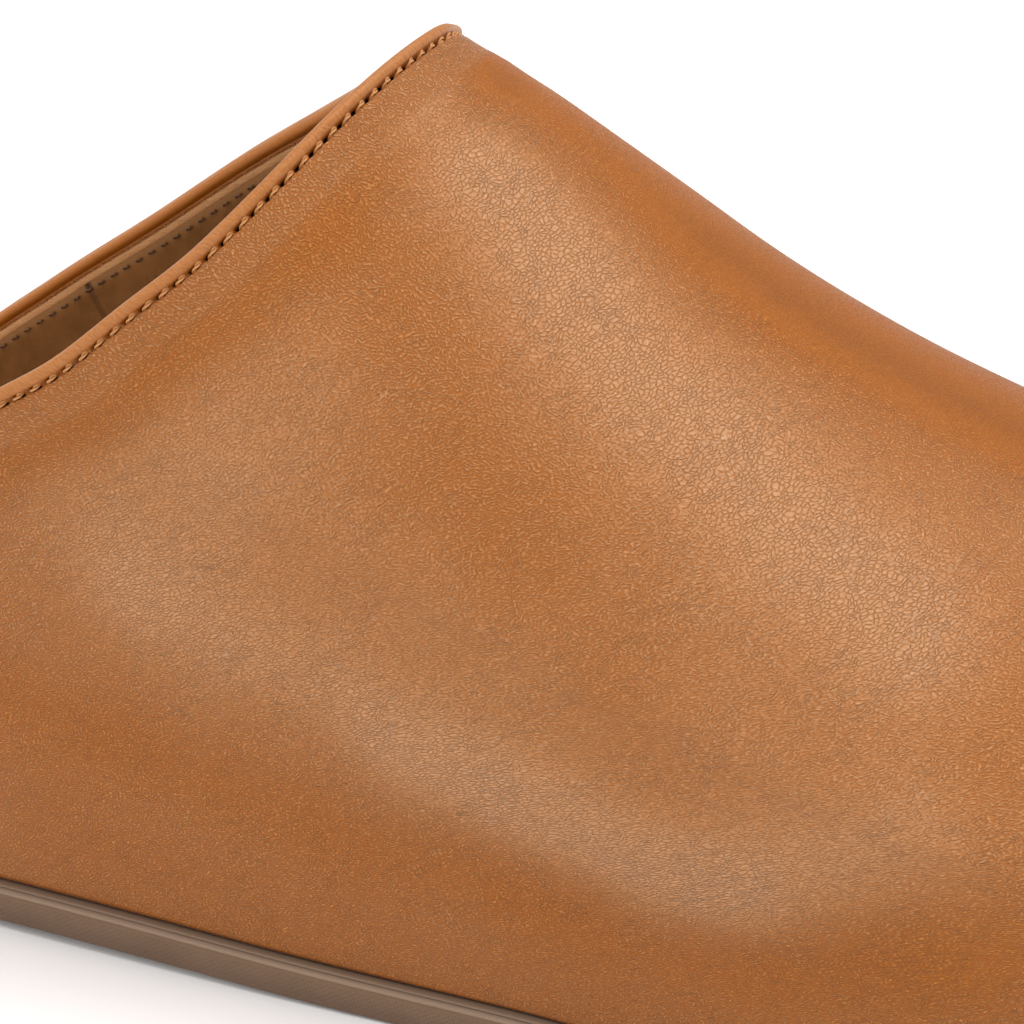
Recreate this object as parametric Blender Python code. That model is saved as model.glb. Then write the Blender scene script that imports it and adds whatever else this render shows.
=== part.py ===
"""A backless leather slipper for the right foot: upper, rubber outsole and leather-covered insole.

The toe points to +X, the lateral side faces -Y and the outsole stands on z = 0, with the origin under
the middle of the box. Sizes are in millimetres here and the meshes are made in metres.
"""

import math

import bmesh
import bpy
import numpy as np

MM = 0.001
SMALL = 1e-4
FAN_END = 0.05

LENGTH = 282.0
HALF = LENGTH / 2
HEEL_ROUND = 35.0
TOE_ROUND = 72.0
TOE_BLUNT = 2.4
TOE_SHIFT = 7.0
TOE_SHIFT_FROM = 20.0

SOLE_EDGE = 4.6
GAP = 0.3
ARCH_X = -40.0
ARCH_REACH = 54.0
ARCH_LIFT = 0.8
ARCH_HOLLOW = 1.4
ARCH_POWER = 4
SPRING_FROM = 66.0
SPRING_RISE = 7.0

WALL = 2.4
LEDGE = 1.3
SWELL_HEIGHT = 25.0
FAN = 46.0
PEAK_X = -15.0
TIP_X = -15.0
TIP_Y = 13.0
TIP_DIP = 1.2
TIP_REACH = (4.0, 8.0)
TIP_FROM_RIDGE = 8.0

ROLL_WIDE = 1.2
ROLL_THICK = 1.7
ROLL_SINK = 1.1
ROLL_FOOT = 2.35
ROLL_GROOVE = 0.2
ROLL_CLEAR = 3.4
ROLL_ANGLES = (135.0, 95.0, 55.0)

INSOLE_INSET = 4.6
INSOLE_HEEL_INSET = 1.7
INSOLE_WIDENS = {-1: (-125.0, -114.0), 1: (-134.0, -123.0)}
INSOLE_ROUND = 0.7

GROOVE_WIDE = 2.4
GROOVE_DEEP = 0.9
GROOVE_MARGIN = 8.0
GROOVE_PITCH = 8.0
GROOVE_FIELDS = ((-124.0, -76.0), (26.0, 82.0))

ROUND_STATIONS = 52
UPPER_STATIONS = 30
UPPER_GIRTHS = 17
DECK_STEPS = 4
TREAD_STEPS = 10
SEAT_STEPS = 2
FOOTBED_STEPS = 12
TOPLINE_SPAN = (0.3, 2.0)
TOPLINE_HALVINGS = 48
OUTLINE_POINTS = 400
JOIN = 0.002
SHARP = math.radians(40)


def table(names, *rows):
    """A short table read by the names of its columns."""
    return dict(zip(names.split(), np.array(rows, float).T))


# Half widths of the outsole, with the distance from the heel, and how far the upper's wall swells
# out over its foot on each side.
PLAN = table(
    "along lateral medial lateral_swell medial_swell",
    (0, 33.0, 32.0, 1.2, 1.2),
    (40, 35.5, 33.0, 2.4, 3.0),
    (90, 40.5, 29.5, 3.2, 6.2),
    (125, 42.1, 30.5, 3.2, 6.6),
    (165, 42.8, 39.0, 2.4, 3.8),
    (200, 48.0, 47.0, 1.4, 1.4),
    (230, 50.0, 47.5, 1.2, 1.2),
    (282, 45.0, 43.0, 1.2, 1.2),
)

# The ridge of the upper: height over the deck, and its way off the long axis. Behind the peak it
# is only the last's cone, which the topline cuts away.
RIDGE = table(
    "x height y",
    (-125, 134.7, 0.0),
    (-60, 113.2, 1.0),
    (-15, 91.7, 2.0),
    (10, 77.5, 3.0),
    (21, 70.8, 3.4),
    (35, 63.7, 4.0),
    (60, 54.2, 5.0),
    (85, 45.2, 6.0),
    (110, 37.2, 7.0),
    (141, 28.7, 7.0),
)

# How far the topline has dropped at a distance behind the peak, on each side.
TOPLINE = table(
    "behind lateral medial",
    (0, 0.0, 0.0),
    (3, 4.5, 3.8),
    (6, 8.9, 5.8),
    (12, 16.5, 10.1),
    (19, 23.1, 16.0),
    (26, 29.5, 21.1),
    (35, 35.5, 27.4),
    (50, 46.9, 38.7),
    (65, 59.6, 49.6),
    (80, 74.5, 61.6),
    (95, 90.5, 77.8),
    (105, 102.0, 92.0),
)

# Fullness of a section: the exponents of its superellipse across and up, on the lateral side, the
# medial side and round the toe.
FULLNESS = {-1: (2.15, 2.05), 1: (2.3, 2.2), 0: (2.3, 2.25)}
FULLNESS_BLEND = (40.0, 120.0)

# The outsole's side from its top face down: how far in from the edge, and how high.
SOLE_SIDE = table(
    "inset height",
    (0.75, 4.60),
    (0.42, 4.50),
    (0.40, 4.36),
    (0.72, 4.26),
    (0.30, 4.12),
    (0.02, 3.88),
    (0.12, 3.62),
    (0.46, 3.48),
    (0.42, 3.16),
    (0.30, 3.10),
    (0.30, 0.40),
    (0.75, 0.00),
)

# The insole's thickness along the foot, and how much its rim stands over its middle.
FOOTBED = table(
    "x thick dish",
    (-141, 8.6, 1.9),
    (-100, 8.4, 2.1),
    (-60, 8.2, 1.7),
    (-20, 7.4, 1.4),
    (20, 5.6, 0.8),
    (60, 4.4, 0.5),
    (141, 4.0, 0.3),
)
DISH_POWER = 2.4
ARCH_PAD = 2.6
ARCH_PAD_FROM = 0.55
ARCH_PAD_X = -28.0
ARCH_PAD_LONG = 34.0

LEATHER = ("tan_leather", (0.42, 0.155, 0.052), 0.48)
RUBBER = ("taupe_rubber", (0.205, 0.145, 0.112), 0.72)
SOCK = ("insole_leather", (0.36, 0.16, 0.07), 0.55)


def along(rows, name, x, at="x"):
    """Reads a column between its rows, as a smooth curve through them."""
    knots = rows[at]
    values = rows[name]
    slopes = np.gradient(values, knots)
    x = np.clip(x, knots[0], knots[-1])
    i = np.clip(np.searchsorted(knots, x, side="right") - 1, 0, len(knots) - 2)
    span = knots[i + 1] - knots[i]
    t = (x - knots[i]) / span
    start = (2 * t**3 - 3 * t**2 + 1) * values[i] + (t**3 - 2 * t**2 + t) * span * slopes[i]
    end = (3 * t**2 - 2 * t**3) * values[i + 1] + (t**3 - t**2) * span * slopes[i + 1]
    return start + end


def ease(x, low, high):
    """Goes softly from 0 at low to 1 at high."""
    t = np.clip((x - low) / (high - low), 0, 1)
    return t * t * (3 - 2 * t)


def unit(v):
    return v / np.linalg.norm(v, axis=-1, keepdims=True)


def waist(x):
    """Goes from 0 at the heel and the ball to 1 at the middle of the arch."""
    return np.cos(np.clip((x - ARCH_X) / ARCH_REACH, -1, 1) * math.pi / 2) ** 2


def lift(x):
    """How far the whole sole stands off the floor: at the arch, and at the toe's spring."""
    t = np.clip((x - SPRING_FROM) / (HALF - SPRING_FROM), 0, 1)
    return ARCH_LIFT * waist(x) + SPRING_RISE * t**2


def edge(u, side):
    """The outsole's outline on one side, from the heel at u = 0 to the toe at u = pi."""
    x = -HALF * np.cos(u)
    heel = np.clip((HEEL_ROUND - HALF - x) / HEEL_ROUND, 0, 1)
    toe = np.clip((TOE_ROUND - HALF + x) / TOE_ROUND, 0, 1)
    closing = np.sqrt(np.maximum(0, 1 - heel**2) * np.maximum(0, 1 - toe**TOE_BLUNT))
    lateral = -along(PLAN, "lateral", x + HALF, at="along")
    medial = along(PLAN, "medial", x + HALF, at="along")
    shift = TOE_SHIFT * np.clip((x - TOE_SHIFT_FROM) / (HALF - TOE_SHIFT_FROM), 0, 1) ** 2
    reach = np.where(side < 0, lateral, medial)
    return x, shift + (reach - shift) * closing


def inside_edge(u, side, inset):
    """A point in plan at a distance inwards from the outline."""
    x, y = edge(u, side)
    ahead = edge(np.minimum(u + SMALL, math.pi), side)
    behind = edge(np.maximum(u - SMALL, 0), side)
    run = np.stack([ahead[0] - behind[0], ahead[1] - behind[1]], -1)
    at_end = (u < SMALL) | (u > math.pi - SMALL)
    end_run = np.stack([np.zeros_like(x), -side * np.cos(u)], -1)
    run = unit(np.where(at_end[..., None], -end_run, run))
    return x + run[..., 1] * side * inset, y - run[..., 0] * side * inset


def last(u, girth, side):
    """The outside of the upper: girth goes from 0 at the feather line to 1 on the ridge."""
    u, girth, side = np.broadcast_arrays(u, girth, np.asarray(side, float))
    x = -HALF * np.cos(u)
    front = HALF - x
    fan_x = HALF - np.where(front < 2 * FAN, FAN + front**2 / (4 * FAN), front)
    ridge_y = along(RIDGE, "y", fan_x)
    meet = ease(x, *FULLNESS_BLEND)
    across = np.where(side < 0, FULLNESS[-1][0], FULLNESS[1][0])
    upward = np.where(side < 0, FULLNESS[-1][1], FULLNESS[1][1])
    across = across + (FULLNESS[0][0] - across) * meet
    upward = upward + (FULLNESS[0][1] - upward) * meet
    angle = girth * math.pi / 2
    reach = np.maximum(np.cos(angle), 0) ** (2 / across)
    rise = np.sin(angle) ** (2 / upward)
    swell = np.where(
        side < 0,
        along(PLAN, "lateral_swell", x + HALF, at="along"),
        along(PLAN, "medial_swell", x + HALF, at="along"),
    )
    wide_x, _ = inside_edge(u, side, LEDGE - swell)
    high = along(RIDGE, "height", fan_x + (wide_x - fan_x) * reach) * rise
    tuck = np.clip(1 - high / SWELL_HEIGHT, 0, 1) ** 2
    foot_x, foot_y = inside_edge(u, side, LEDGE - swell * (1 - tuck))
    px = fan_x + (foot_x - fan_x) * reach
    py = ridge_y + (foot_y - ridge_y) * reach
    off_tip = ((px - TIP_X) / TIP_REACH[0]) ** 2 + ((py - TIP_Y) / TIP_REACH[1]) ** 2
    high = high - TIP_DIP * np.exp(-off_tip) * ease(py - ridge_y, 0.0, TIP_FROM_RIDGE)
    return np.stack([px, py, high + SOLE_EDGE + GAP + lift(px)], -1)


def outward(u, girth, side):
    """The upper's outward normal: level along the feather line, upright across ridge and toe."""
    u, girth = np.broadcast_arrays(u, girth)
    on_ridge = (girth >= 1)[..., None]
    at_toe = (u >= math.pi)[..., None]
    over = (0, -side, 0)
    low = np.clip(girth, 2 * SMALL, 1 - 2 * SMALL)
    held = np.where(girth >= 1, 1.0, low)
    near = np.minimum(u, math.pi - np.where(girth >= 1, FAN_END, SMALL))
    run = last(near + SMALL, held, side) - last(near - SMALL, held, side)
    climb = last(u, low + SMALL, side) - last(u, low - SMALL, side)
    run = np.where(at_toe & ~on_ridge, over, run)
    climb = np.where(on_ridge, over, climb)
    normal = -side * np.cross(run, climb)
    on_feather = (girth <= 0)[..., None]
    return unit(np.where(on_feather, normal * (1, 1, 0), normal))


def topline(girth, side):
    """Where along u the topline crosses each girth."""
    drop = "lateral" if side < 0 else "medial"
    peak = along(RIDGE, "height", PEAK_X)
    low = np.full_like(girth, TOPLINE_SPAN[0])
    high = np.full_like(girth, TOPLINE_SPAN[1])
    for _ in range(TOPLINE_HALVINGS):
        middle = (low + high) / 2
        point = last(middle, girth, side)
        behind = PEAK_X - point[:, 0]
        fallen = np.where(behind > 0, along(TOPLINE, drop, behind, at="behind"), behind)
        above = point[:, 2] - SOLE_EDGE - GAP - lift(point[:, 0]) > peak - fallen
        low = np.where(above, middle, low)
        high = np.where(above, high, middle)
    return (low + high) / 2


def from_topline(start, girth, side, distance):
    """Moves on from the topline along each girth until it is a distance away from it."""
    here = last(start, girth, side)
    line = unit(np.gradient(here, axis=0))
    line[-1] = (0, 1, 0)
    run = (last(start + SMALL, girth, side) - here) / SMALL
    return start + distance / np.linalg.norm(np.cross(run, line), axis=-1)


def roll_profile(face):
    """The rolled topline in section: distance from its tip, and offset from the outer face."""
    for angle in ROLL_ANGLES:
        turn = math.radians(angle)
        lift = ROLL_THICK * math.sin(turn) * face - ROLL_SINK
        yield ROLL_WIDE * (1 + math.cos(turn)), lift
    skin = 0.0 if face > 0 else -WALL
    yield ROLL_FOOT, skin - ROLL_GROOVE * face
    yield ROLL_CLEAR, skin


def upper_half(side, face):
    """A grid of points on one half of the upper's outer or inner face, tip of the roll first."""
    girth = np.linspace(0, 1, UPPER_GIRTHS)
    start = topline(girth, side)
    tip = last(start, girth, side) - outward(start, girth, side) * ROLL_SINK
    columns = [tip]
    for distance, offset in roll_profile(face):
        u = from_topline(start, girth, side, distance)
        columns.append(last(u, girth, side) + outward(u, girth, side) * offset)
    for step in range(1, UPPER_STATIONS + 1):
        at = u + (math.pi - u) * step / UPPER_STATIONS
        columns.append(last(at, girth, side) + outward(at, girth, side) * offset)
    return np.stack(columns, 1)


class Shell:
    """Collects points and faces, and joins points that lie in one place."""

    def __init__(self):
        self.mesh = bmesh.new()

    def grid(self, points):
        """Adds a sheet of quads over a grid of points, left out where it has no width."""
        rows = [[self.mesh.verts.new(p) for p in row] for row in points * MM]
        for lower, upper in zip(rows, rows[1:]):
            for a, b, c, d in zip(lower, lower[1:], upper[1:], upper):
                self.mesh.faces.new((a, b, c, d))

    def finish(self, name, finish, centre):
        """Closes the solid, turns its faces outwards and makes the object."""
        bmesh.ops.remove_doubles(self.mesh, verts=self.mesh.verts, dist=JOIN * MM)
        bmesh.ops.recalc_face_normals(self.mesh, faces=self.mesh.faces)
        bmesh.ops.translate(self.mesh, verts=self.mesh.verts, vec=(0, -centre * MM, 0))
        data = bpy.data.meshes.new(name)
        self.mesh.to_mesh(data)
        self.mesh.free()
        data.shade_smooth()
        data.set_sharp_from_angle(angle=SHARP)
        data.materials.append(material(*finish))
        obj = bpy.data.objects.new(name, data)
        bpy.context.scene.collection.objects.link(obj)
        return obj


def material(name, colour, roughness):
    """A plain finish in one colour."""
    made = bpy.data.materials.new(name)
    made.use_nodes = True
    shader = made.node_tree.nodes["Principled BSDF"]
    shader.inputs["Base Color"].default_value = (*colour, 1.0)
    shader.inputs["Roughness"].default_value = roughness
    shader.inputs["Metallic"].default_value = 0.0
    return made


def make_upper(centre):
    """The hollow upper: two faces that meet in the rolled topline, and open below."""
    shell = Shell()
    for side in (-1, 1):
        outer = upper_half(side, 1)
        inner = upper_half(side, -1)
        shell.grid(outer)
        shell.grid(inner)
        shell.grid(np.stack([outer[0], inner[0]]))
    return shell.finish("upper", LEATHER, centre)


def strip(lateral, medial, steps, height):
    """Points straight across the foot between two lines, with their height from a function."""
    share = np.linspace(0, 1, steps + 1)[:, None, None]
    plan = lateral + (medial - lateral) * share
    return np.concatenate([plan, height(plan, share)], -1)


def sole_side(side):
    """The outsole's side as a grid that runs down its profile."""
    u = np.linspace(0, math.pi, ROUND_STATIONS + 1)
    grid = []
    for inset, height in zip(SOLE_SIDE["inset"], SOLE_SIDE["height"]):
        x, y = inside_edge(u, side, inset)
        grid.append(np.stack([x, y, height + lift(x)], -1))
    return np.stack(grid)


def underside(plan, share):
    """Height of the outsole's underside, which is hollowed between the heel and the ball."""
    x = plan[..., :1]
    inwards = 1 - np.abs(2 * share - 1) ** ARCH_POWER
    return ARCH_HOLLOW * waist(x) * inwards + lift(x)


def deck(plan, share):
    """Height of the outsole's flat top face."""
    return SOLE_EDGE + lift(plan[..., :1]) + 0 * share


def make_outsole(centre):
    """The outsole: stepped and ribbed side, hollowed waist, toe spring and a grooved tread."""
    lateral = sole_side(-1)
    medial = sole_side(1)
    shell = Shell()
    shell.grid(lateral)
    shell.grid(medial)
    shell.grid(strip(lateral[0][:, :2], medial[0][:, :2], DECK_STEPS, deck))
    shell.grid(strip(lateral[-1][:, :2], medial[-1][:, :2], TREAD_STEPS, underside))
    sole = shell.finish("outsole", RUBBER, centre)
    for number, (start, end) in enumerate(GROOVE_FIELDS):
        cut = sole.modifiers.new(f"tread_{number}", "BOOLEAN")
        cut.operation = "DIFFERENCE"
        cut.solver = "EXACT"
        cut.object = tread_cutter(f"tread_cutter_{number}", start, end, centre)
    return sole


def tread_cutter(name, start, end, centre):
    """A row of bars across the foot that cut the tread's grooves."""
    mesh = bmesh.new()
    for x in np.arange(start, end, GROOVE_PITCH):
        u = math.acos(-x / HALF)
        low = float(edge(u, -1)[1]) + GROOVE_MARGIN
        high = float(edge(u, 1)[1]) - GROOVE_MARGIN
        bar = bmesh.ops.create_cube(mesh, size=1.0)["verts"]
        top = GROOVE_DEEP + float(lift(x))
        bmesh.ops.scale(mesh, verts=bar, vec=(GROOVE_WIDE * MM, (high - low) * MM, 2 * top * MM))
        bmesh.ops.translate(mesh, verts=bar, vec=(x * MM, ((low + high) / 2 - centre) * MM, 0))
    data = bpy.data.meshes.new(name)
    mesh.to_mesh(data)
    mesh.free()
    cutter = bpy.data.objects.new(name, data)
    bpy.context.scene.collection.objects.link(cutter)
    cutter.hide_render = True
    cutter.display_type = "WIRE"
    return cutter


def footbed_height(x, share):
    """Thickness of the insole: dished across, with a pad under the arch of the foot."""
    rim = np.abs(2 * share - 1) ** DISH_POWER
    pad = ARCH_PAD * np.exp(-(((x - ARCH_PAD_X) / ARCH_PAD_LONG) ** 2)) * ease(share, ARCH_PAD_FROM, 1.0)
    return along(FOOTBED, "thick", x) - along(FOOTBED, "dish", x) * (1 - rim) + pad


def insole_inset(u, side):
    """The insole stays inside the upper's wall, and widens behind it at the heel."""
    x = -HALF * np.cos(u)
    return INSOLE_HEEL_INSET + (INSOLE_INSET - INSOLE_HEEL_INSET) * ease(x, *INSOLE_WIDENS[side])


def seat(plan, share):
    """Height of the insole's underside, a gap over the deck."""
    return deck(plan, share) + GAP


def footbed(plan, share):
    """Height of the insole's top."""
    return seat(plan, share) + footbed_height(plan[..., :1], share)


def insole_side(side, share):
    """The insole's side as a grid from its underside up to its rounded rim."""
    u = np.linspace(0, math.pi, ROUND_STATIONS + 1)
    inset = insole_inset(u, side)
    low_x, low_y = inside_edge(u, side, inset)
    top_x, top_y = inside_edge(u, side, inset + INSOLE_ROUND)
    low = np.stack([low_x, low_y], -1)
    top = np.stack([top_x, top_y], -1)
    return np.stack(
        [
            np.concatenate([low, seat(low, share)], -1),
            np.concatenate([low, footbed(low, share) - INSOLE_ROUND], -1),
            np.concatenate([top, footbed(top, share)], -1),
        ]
    )


def make_insole(centre):
    """The insole: a contoured footbed with rounded top edge, lying on the outsole."""
    shell = Shell()
    lateral = insole_side(-1, 0.0)
    medial = insole_side(1, 1.0)
    shell.grid(lateral)
    shell.grid(medial)
    shell.grid(strip(lateral[0][:, :2], medial[0][:, :2], SEAT_STEPS, seat))
    shell.grid(strip(lateral[-1][:, :2], medial[-1][:, :2], FOOTBED_STEPS, footbed))
    return shell.finish("insole", SOCK, centre)


def main():
    for obj in list(bpy.data.objects):
        bpy.data.objects.remove(obj, do_unlink=True)
    u = np.linspace(0, math.pi, OUTLINE_POINTS)
    centre = (edge(u, -1)[1].min() + edge(u, 1)[1].max()) / 2
    make_upper(centre)
    make_outsole(centre)
    make_insole(centre)


main()
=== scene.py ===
"""The looks of a backless leather slipper for the right foot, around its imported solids.

The toe points to +X, the lateral side faces -Y and the slipper stands on z = 0. Sizes are in
millimetres here, and the meshes are made in metres.
"""

import math

import bmesh
import bpy
import numpy as np
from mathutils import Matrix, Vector


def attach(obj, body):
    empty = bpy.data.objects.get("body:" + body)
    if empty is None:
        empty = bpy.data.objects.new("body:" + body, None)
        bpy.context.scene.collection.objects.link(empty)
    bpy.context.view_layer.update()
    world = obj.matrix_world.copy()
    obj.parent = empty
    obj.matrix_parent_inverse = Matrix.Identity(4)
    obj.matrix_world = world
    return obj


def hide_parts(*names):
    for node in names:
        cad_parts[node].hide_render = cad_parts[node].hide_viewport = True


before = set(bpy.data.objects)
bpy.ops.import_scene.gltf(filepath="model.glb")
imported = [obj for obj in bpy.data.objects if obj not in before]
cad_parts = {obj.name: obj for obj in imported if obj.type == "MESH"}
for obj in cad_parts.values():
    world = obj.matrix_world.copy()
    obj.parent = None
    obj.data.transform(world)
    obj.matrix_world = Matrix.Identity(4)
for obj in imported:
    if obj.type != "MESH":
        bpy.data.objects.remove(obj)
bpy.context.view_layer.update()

MM = 0.001
SMALL = 1e-4
FAN_END = 0.05

# The last and the sole, as in the solids: a soft dip lies beside the topline's tip.
LENGTH = 282.0
HALF = LENGTH / 2
HEEL_ROUND = 35.0
TOE_ROUND = 72.0
TOE_BLUNT = 2.4
TOE_SHIFT = 7.0
TOE_SHIFT_FROM = 20.0
SOLE_EDGE = 4.6
GAP = 0.3
ARCH_X = -40.0
ARCH_REACH = 54.0
ARCH_LIFT = 0.8
ARCH_HOLLOW = 1.4
ARCH_POWER = 4
SPRING_FROM = 66.0
SPRING_RISE = 7.0
WALL = 2.4
LEDGE = 1.3
SWELL_HEIGHT = 25.0
FAN = 46.0
PEAK_X = -15.0
TIP_X = -15.0
TIP_Y = 13.0
TIP_DIP = 1.2
TIP_REACH = (4.0, 8.0)
TIP_FROM_RIDGE = 8.0
TOPLINE_SPAN = (0.3, 2.0)
TOPLINE_HALVINGS = 48
OUTLINE_POINTS = 400
JOIN = 0.002

# The rolled topline, its needle holes and the facing behind it. The shades tell the leather's
# finish where it is, and paint light and shade there: near-black painted shade far down in a hole,
# a pale band on the facing that is its own tan with painted light, and painted shade on the roll's
# inner face.
ROLL_WIDE = 0.93
ROLL_THICK = 1.7
ROLL_SINK = 1.1
ROLL_ANGLES = (172, 163, 154, 144, 134, 123, 112, 101, 90, 79, 68, 57, 47)
STITCH_PITCH = 2.3
STITCH_STEPS = 8
GIRTH_FINE = 4
NEXT_STEP = 0.006
NEXT_AWAY = 1.0
SEAM_AWAY = 1.95
HOLE_HALF = 0.48
HOLE_SHADE = -5.5
FACING_SHADE = 4.0
ROLL_SHADE = -1.2
LINING_SEAM_AWAY = 3.6
LINING_FROM = 2.75
LINING_THICK = 0.5
LINING_SEAM_LEAN = 0.55
LINING_SEAM_AT = -48.8
BACK_OFFSET = -1.75

# Each row of stitches: its distance from the topline, its offset from the last, each stitch's
# length, its thread's width, and its slant in radians.
TOPLINE_STITCHES = (SEAM_AWAY - 0.02, -0.06, 1.6, 0.56, 0.3)
FACING_STITCHES = (LINING_SEAM_AWAY, -2.42, 0.9, 0.4, 0.0)

# A stitch of two twisted plies. Their width, their way off its middle and how deep it dives at
# its ends are in thread widths.
STITCH_POINTS = 10
STITCH_TURNS = 0.75
PLY_SIDES = 5
PLY_HALF = 0.27
PLY_OFF = 0.29
STITCH_THINS = 0.45
STITCH_DIVES = 1.1
STITCH_BOW = 3.0

# Mesh steps, and where the places on the surface blend.
UPPER_STATIONS = 140
LINING_GIRTH_STEP = 6
LINING_STATIONS = 90
BACK_STATIONS = 18
SOLE_STATIONS = 260
DECK_STEPS = 6
TREAD_STEPS = 24
FOOTBED_STEPS = 60
SEAT_STEPS = 4
DENSE = 1500
PLACE_BLEND = 25.0
TOE_BLEND = (0.3, 1.0)

# The insole, and how its grain runs on down its side.
INSOLE_INSET = 4.6
INSOLE_HEEL_INSET = 1.7
INSOLE_WIDENS = {-1: (-125.0, -114.0), 1: (-134.0, -123.0)}
INSOLE_PLACE = 200.0
SIDE_SLIDE = (0.6, -0.8, -1.0)
INSOLE_ROUND = 0.7
INSOLE_ROUND_STEP = 15

# The tread's cross grooves.
GROOVE_WIDE = 2.4
GROOVE_DEEP = 0.9
GROOVE_MARGIN = 8.0
GROOVE_PITCH = 8.0
GROOVE_FIELDS = ((-124.0, -76.0), (26.0, 82.0))

# The camera: its turns, distance, aim and the width it frames. Its near end and the floor's
# width are in metres.
AZIMUTH = math.radians(26)
ELEVATION = math.radians(23.5)
DISTANCE = 700.0
AIM_RIGHT = -2.93
AIM_UP = 40.08
FRAME_WIDE = 116.64
SENSOR = 36.0
CLIP_START = 0.01
FLOOR_WIDE = 12.0

# The studio: how bright the room is, and each soft light's power, width in degrees and direction.
ROOM_LIGHT = 0.42
STUDIO_LIGHTS = {
    "overhead": (2.5, 60.0, (0.25, 0.15, 0.95)),
    "fill": (1.0, 90.0, (-0.4, -0.85, 0.3)),
}


def table(names, *rows):
    """A short table read by the names of its columns."""
    return dict(zip(names.split(), np.array(rows, float).T))


# Half widths of the outsole, with the distance from the heel, and how far the upper's wall swells
# out over its foot on each side.
PLAN = table(
    "along lateral medial lateral_swell medial_swell",
    (0, 33.0, 32.0, 1.2, 1.2),
    (40, 35.5, 33.0, 2.4, 3.0),
    (90, 40.5, 29.5, 3.2, 6.2),
    (125, 42.1, 30.5, 3.2, 6.6),
    (165, 42.8, 39.0, 2.4, 3.8),
    (200, 48.0, 47.0, 1.4, 1.4),
    (230, 50.0, 47.5, 1.2, 1.2),
    (282, 45.0, 43.0, 1.2, 1.2),
)
PLAN_SIDES = ("lateral", "medial")

# The ridge of the upper: height over the deck, and its way off the long axis.
RIDGE = table(
    "x height y",
    (-125, 134.7, 0.0),
    (-60, 113.2, 1.0),
    (-15, 91.7, 2.0),
    (10, 77.5, 3.0),
    (21, 70.8, 3.4),
    (35, 63.7, 4.0),
    (60, 54.2, 5.0),
    (85, 45.2, 6.0),
    (110, 37.2, 7.0),
    (141, 28.7, 7.0),
)

# How far the topline has dropped at a distance behind the peak, on each side.
TOPLINE = table(
    "behind lateral medial",
    (0, 0.0, 0.0),
    (3, 4.5, 3.8),
    (6, 8.9, 5.8),
    (12, 16.5, 10.1),
    (19, 23.1, 16.0),
    (26, 29.5, 21.1),
    (35, 35.5, 27.4),
    (50, 46.9, 38.7),
    (65, 59.6, 49.6),
    (80, 74.5, 61.6),
    (95, 90.5, 77.8),
    (105, 102.0, 92.0),
)

# How full the upper's sections are, across and upward, by side: both meet in one in front.
FULLNESS = {-1: (2.15, 2.05), 1: (2.3, 2.2), 0: (2.3, 2.25)}
FULLNESS_BLEND = (40.0, 120.0)

# The outsole's side from its top face down: how far in from the edge, and how high.
SOLE_SIDE = table(
    "inset height",
    (0.80, 4.60), (0.58, 4.57), (0.44, 4.49), (0.41, 4.41),
    (0.46, 4.34), (0.66, 4.28), (0.70, 4.24), (0.58, 4.18),
    (0.30, 4.11), (0.12, 4.03), (0.03, 3.92), (0.02, 3.82),
    (0.06, 3.71), (0.15, 3.60), (0.34, 3.52), (0.47, 3.46),
    (0.47, 3.36), (0.40, 3.28), (0.40, 3.18), (0.32, 3.12),
    (0.30, 3.04), (0.30, 2.40), (0.30, 1.50), (0.30, 0.62),
    (0.34, 0.34), (0.46, 0.13), (0.62, 0.03), (0.80, 0.00),
)

# The insole's thickness along the foot, and how much its rim stands over its middle.
FOOTBED = table(
    "x thick dish",
    (-141, 8.6, 1.9),
    (-100, 8.4, 2.1),
    (-60, 8.2, 1.7),
    (-20, 7.4, 1.4),
    (20, 5.6, 0.8),
    (60, 4.4, 0.5),
    (141, 4.0, 0.3),
)
DISH_POWER = 2.4
ARCH_PAD = 2.6
ARCH_PAD_FROM = 0.55
ARCH_PAD_X = -28.0
ARCH_PAD_LONG = 34.0

# The outer face beside the seam: distance from the topline, offset from the last, and how much
# deeper it is at a needle hole.
SEAM_OUTSIDE = table(
    "away offset hole",
    (1.59, -0.03, -0.05),
    (1.69, -0.20, -0.34),
    (1.81, -0.38, -0.80),
    (1.95, -0.44, -1.00),
    (2.09, -0.38, -0.80),
    (2.19, -0.14, -0.40),
    (2.28, 0.02, -0.12),
    (2.39, 0.12, -0.04),
    (2.57, 0.19, -0.02),
    (2.85, 0.22, 0.0),
    (3.20, 0.22, 0.0),
    (3.60, 0.20, 0.0),
    (4.05, 0.16, 0.0),
    (4.60, 0.11, 0.0),
    (5.25, 0.06, 0.0),
    (6.00, 0.0, 0.0),
)

# The inner face beside the seam, down to where the lining starts.
SEAM_INSIDE = table(
    "away offset hole",
    (1.62, -2.62, 0.0),
    (1.80, -2.55, 0.0),
    (2.10, -2.52, 0.0),
    (2.45, -2.50, 0.0),
    (2.75, -2.44, 0.0),
    (2.95, -2.30, 0.0),
    (3.10, -1.80, 0.0),
)
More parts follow.
